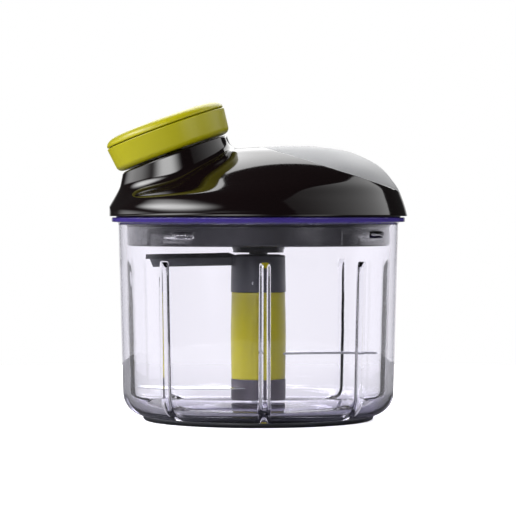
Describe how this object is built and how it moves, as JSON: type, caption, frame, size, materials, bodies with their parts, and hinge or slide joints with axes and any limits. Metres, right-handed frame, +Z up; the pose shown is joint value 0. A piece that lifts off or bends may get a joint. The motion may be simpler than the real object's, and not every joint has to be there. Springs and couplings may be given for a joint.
{
  "type": "manual food chopper",
  "caption": "Hand-pulled food chopper: clear bowl, blade column with paddle arm, and a twist-off lid whose cord handle drives the blades.",
  "frame": {"origin": "centre of the underside of the base ring, on the bowl's axis", "axes": "+Z up along the bowl's axis, the pull handle on the side of -X, the front faces -Y"},
  "size_m": [0.1396, 0.1386, 0.1475],
  "materials": {
    "clear_bowl": "clear moulded, faint violet tint in the thick edges",
    "black_rubber": "soft moulded elastomer",
    "steel": "turned steel",
    "blade_steel": "ground stainless",
    "dark_plastic": "satin moulded",
    "lime_plastic": "satin moulded",
    "gloss_black": "high gloss moulded",
    "soft_grip": "fine moulded texture",
    "bearing_plastic": "natural acetal",
    "cord": "braided cord"
  },
  "bodies": {
    "bowl": {"bowl": "clear_bowl", "base_ring": "black_rubber", "spindle_pin": "steel", "thrust_washer": "steel"},
    "seal": {"lid_seal": "black_rubber"},
    "lid": {"lid_base": "dark_plastic", "drive_bush": "bearing_plastic", "return_spring": "steel", "spool_bridge": "dark_plastic", "bridge_screws": "steel", "lid_screws": "steel", "lid_shell": "gloss_black", "palm_grip": "soft_grip", "cord_guide": "bearing_plastic", "cord_lead": "cord"},
    "handle": {"handle_dish": "lime_plastic", "handle_cap": "lime_plastic", "cord_knot": "cord", "pull_cord": "cord"},
    "spool": {"drive_collar": "dark_plastic", "drive_shaft": "dark_plastic", "cord_spool": "bearing_plastic", "spool_screw": "steel", "cord_winding": "cord"},
    "column": {"column_core": "dark_plastic", "column_bush": "bearing_plastic", "lower_hub": "dark_plastic", "lower_blade": "blade_steel", "column_sleeve": "lime_plastic", "upper_blade": "blade_steel", "upper_hub": "dark_plastic", "paddle": "dark_plastic", "hub_pin": "steel"}
  },
  "joints": [
    {"name": "lid_lift", "type": "slide", "parent": "bowl", "child": "seal", "axis": [0, 0, 1], "range_m": [0, 0.13]},
    {"name": "lid_twist", "type": "hinge", "parent": "seal", "child": "lid", "pos_m": [0, 0, 0.09], "axis": [0, 0, 1], "range_deg": [0, 15]},
    {"name": "handle_pull", "type": "slide", "parent": "lid", "child": "handle", "axis": [-0.342, 0, 0.9397], "range_m": [0, 0.38], "stiffness_N_per_m": 10, "springref_m": -0.5},
    {"name": "spool_spin", "type": "hinge", "parent": "lid", "child": "spool", "pos_m": [0, 0, 0.1], "axis": [0, 0, 1], "range_deg": [0, 1470]},
    {"name": "column_spin", "type": "hinge", "parent": "bowl", "child": "column", "pos_m": [0, 0, 0.02], "axis": [0, 0, 1], "continuous": true}
  ],
  "couplings": [
    {"joint": "spool_spin", "follows": "handle_pull", "rad_per_m": 66.667},
    {"joint": "column_spin", "follows": "handle_pull", "rad_per_m": 66.667}
  ]
}
